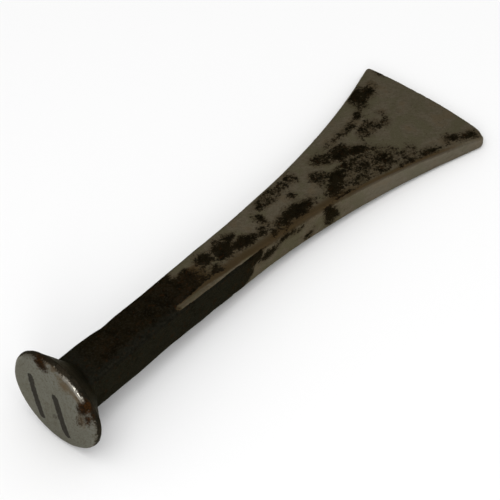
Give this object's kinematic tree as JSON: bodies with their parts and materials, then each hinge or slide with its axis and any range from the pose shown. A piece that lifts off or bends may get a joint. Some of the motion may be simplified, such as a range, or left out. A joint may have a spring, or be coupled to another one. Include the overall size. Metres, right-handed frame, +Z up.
{
  "type": "caulking iron",
  "caption": "Forged steel hand tool: crowned round striking head, rectangular shank, and a flared blade that thins to a blunt bowed edge.",
  "frame": {"origin": "centre of the tool's bounding box at floor level, with the tool lying on the rim of its head and the tip of its blade", "axes": "+X from the striking head towards the working edge, +Y across the blade towards its crisp corner, +Z up, out of the upper broad face"},
  "size_m": [0.1726, 0.0506, 0.0336],
  "materials": {
    "head_steel": "struck and dressed steel, dark at the rim and behind it, with spots of rust",
    "forge_scale": "dull dark forge scale with a brown tint",
    "ground_steel": "satin ground steel with patches of dark scale and brown staining"
  },
  "bodies": {
    "root": {"striking_head": "head_steel", "shank": "forge_scale", "blade": "ground_steel"}
  },
  "joints": []
}
